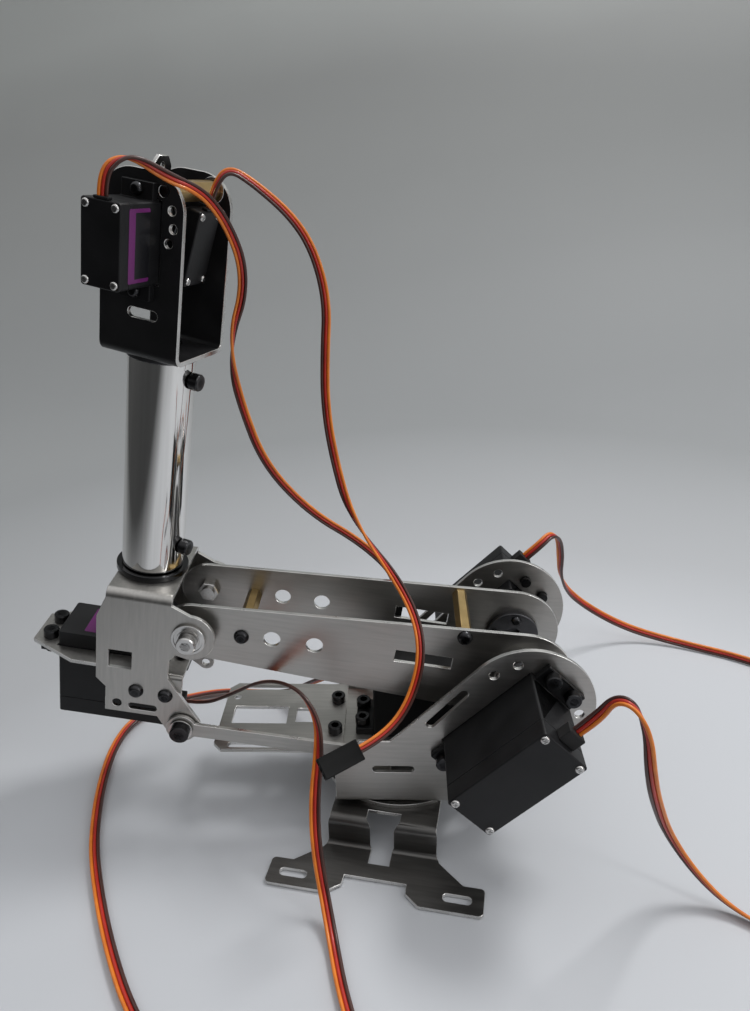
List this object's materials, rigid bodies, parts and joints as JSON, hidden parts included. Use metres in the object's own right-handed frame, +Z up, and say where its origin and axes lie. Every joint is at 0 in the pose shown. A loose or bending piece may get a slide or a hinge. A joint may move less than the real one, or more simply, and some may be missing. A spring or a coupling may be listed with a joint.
{
  "type": "desktop robot arm",
  "caption": "Small bent-sheet robot arm folded back over its slotted base: hobby servos turn the waist, shoulder, link-driven elbow, forearm tube, wrist and a bare tool disc.",
  "frame": {"origin": "on the floor, on the waist's turning axis, in the middle of the four slotted feet", "axes": "+Z up; +X forward, the way the shoulder is offset from the waist before the waist's rest turn; the base bracket's walls face -Y and +Y"},
  "size_m": [0.314, 0.2492, 0.2343],
  "materials": {
    "brushed_sheet": "brushed stainless sheet",
    "black_sheet": "black coated sheet with bright cut edges",
    "servo_plastic": "matte black moulded plastic",
    "gland_rubber": "soft black",
    "dark_alloy": "black anodised",
    "black_screw": "black oxide",
    "brass_hex": "turned brass",
    "bright_steel": "bright steel",
    "polished_tube": "mirror polished steel",
    "lead_ribbon": "three-wire ribbon in brown, red and orange",
    "plug_plastic": "black plug housing"
  },
  "bodies": {
    "base": {"base_bracket": "brushed_sheet", "turntable_disc": "brushed_sheet", "waist_horn": "dark_alloy", "waist_horn_screws": "black_screw", "near_lead": "lead_ribbon", "far_lead": "lead_ribbon", "roll_lead": "lead_ribbon", "extension_lead": "lead_ribbon", "floor_plugs": "plug_plastic"},
    "waist": {"waist_bracket": "brushed_sheet", "servo_deck": "brushed_sheet", "tray": "brushed_sheet", "waist_servo_case": "servo_plastic", "near_servo_case": "servo_plastic", "far_servo_case": "servo_plastic", "waist_servo_covers": "servo_plastic", "waist_servo_glands": "gland_rubber", "waist_screws": "black_screw", "tool_lead_plug": "plug_plastic", "tool_lead": "lead_ribbon"},
    "upper_arm": {"arm_plate_near": "brushed_sheet", "arm_plate_far": "brushed_sheet", "arm_standoffs": "brass_hex", "arm_screws": "black_screw", "shoulder_horn": "dark_alloy", "shoulder_disc": "dark_alloy", "shoulder_bush": "bright_steel", "elbow_pins": "bright_steel", "wrist_lead_plugs": "plug_plastic", "wrist_lead": "lead_ribbon"},
    "crank": {"crank_horn": "dark_alloy", "crank_lever": "brushed_sheet", "crank_fasteners": "black_screw"},
    "link": {"link_bar": "brushed_sheet"},
    "elbow": {"elbow_bracket": "brushed_sheet", "elbow_bearings": "bright_steel", "servo_plate": "brushed_sheet", "roll_servo_case": "servo_plastic", "roll_servo_cover": "servo_plastic", "roll_servo_gland": "gland_rubber", "roll_ring": "dark_alloy", "link_pin": "black_screw", "elbow_screws": "black_screw"},
    "forearm": {"roll_horn": "dark_alloy", "forearm_hub": "dark_alloy", "tube_sleeve": "dark_alloy", "forearm_tube": "polished_tube", "tube_cap": "dark_alloy", "wrist_bracket": "black_sheet", "wrist_servo_case": "servo_plastic", "wrist_servo_cover": "servo_plastic", "wrist_brace": "brass_hex", "forearm_screws": "black_screw"},
    "wrist": {"pitch_bracket": "brushed_sheet", "wrist_horn": "dark_alloy", "pitch_pin": "bright_steel", "tool_servo_case": "servo_plastic", "tool_servo_cover": "servo_plastic", "wrist_screws": "black_screw"},
    "tool": {"tool_horn": "dark_alloy"}
  },
  "joints": [
    {"name": "waist_turn", "type": "hinge", "parent": "base", "child": "waist", "pos_m": [0, 0, 0], "axis": [0, 0, 1], "range_deg": [-90, 90], "deforming": ["near_lead", "far_lead", "roll_lead"]},
    {"name": "shoulder", "type": "hinge", "parent": "waist", "child": "upper_arm", "pos_m": [0.0429, 0.00718, 0.0605], "axis": [-0.165, 0.9863, 0], "range_deg": [-2, 105], "deforming": ["tool_lead", "extension_lead"]},
    {"name": "elbow", "type": "hinge", "parent": "upper_arm", "child": "elbow", "pos_m": [-0.0724, -0.01212, 0.07985], "axis": [-0.165, 0.9863, 0], "range_deg": [-15, 55], "deforming": ["wrist_lead"]},
    {"name": "crank_turn", "type": "hinge", "parent": "upper_arm", "child": "crank", "pos_m": [0.0429, 0.00718, 0.0605], "axis": [-0.165, 0.9863, 0], "range_deg": [-15, 55]},
    {"name": "link_turn", "type": "hinge", "parent": "crank", "child": "link", "pos_m": [0.03622, 0.00606, 0.02209], "axis": [-0.165, 0.9863, 0], "range_deg": [-55, 15]},
    {"name": "forearm_roll", "type": "hinge", "parent": "elbow", "child": "forearm", "pos_m": [-0.09057, -0.01516, 0.0831], "axis": [0.1713, 0.0287, 0.9848], "range_deg": [-90, 90]},
    {"name": "wrist_pitch", "type": "hinge", "parent": "forearm", "child": "wrist", "pos_m": [-0.06743, -0.01128, 0.21615], "axis": [0.1261, 0.9907, -0.0508], "range_deg": [-6, 38]},
    {"name": "tool_roll", "type": "hinge", "parent": "wrist", "child": "tool", "pos_m": [-0.07394, -0.0067, 0.21855], "axis": [-0.9289, 0.1359, 0.3444], "range_deg": [-90, 90]}
  ],
  "couplings": [
    {"joint": "crank_turn", "follows": "elbow", "ratio": 1},
    {"joint": "link_turn", "follows": "elbow", "ratio": -1}
  ]
}
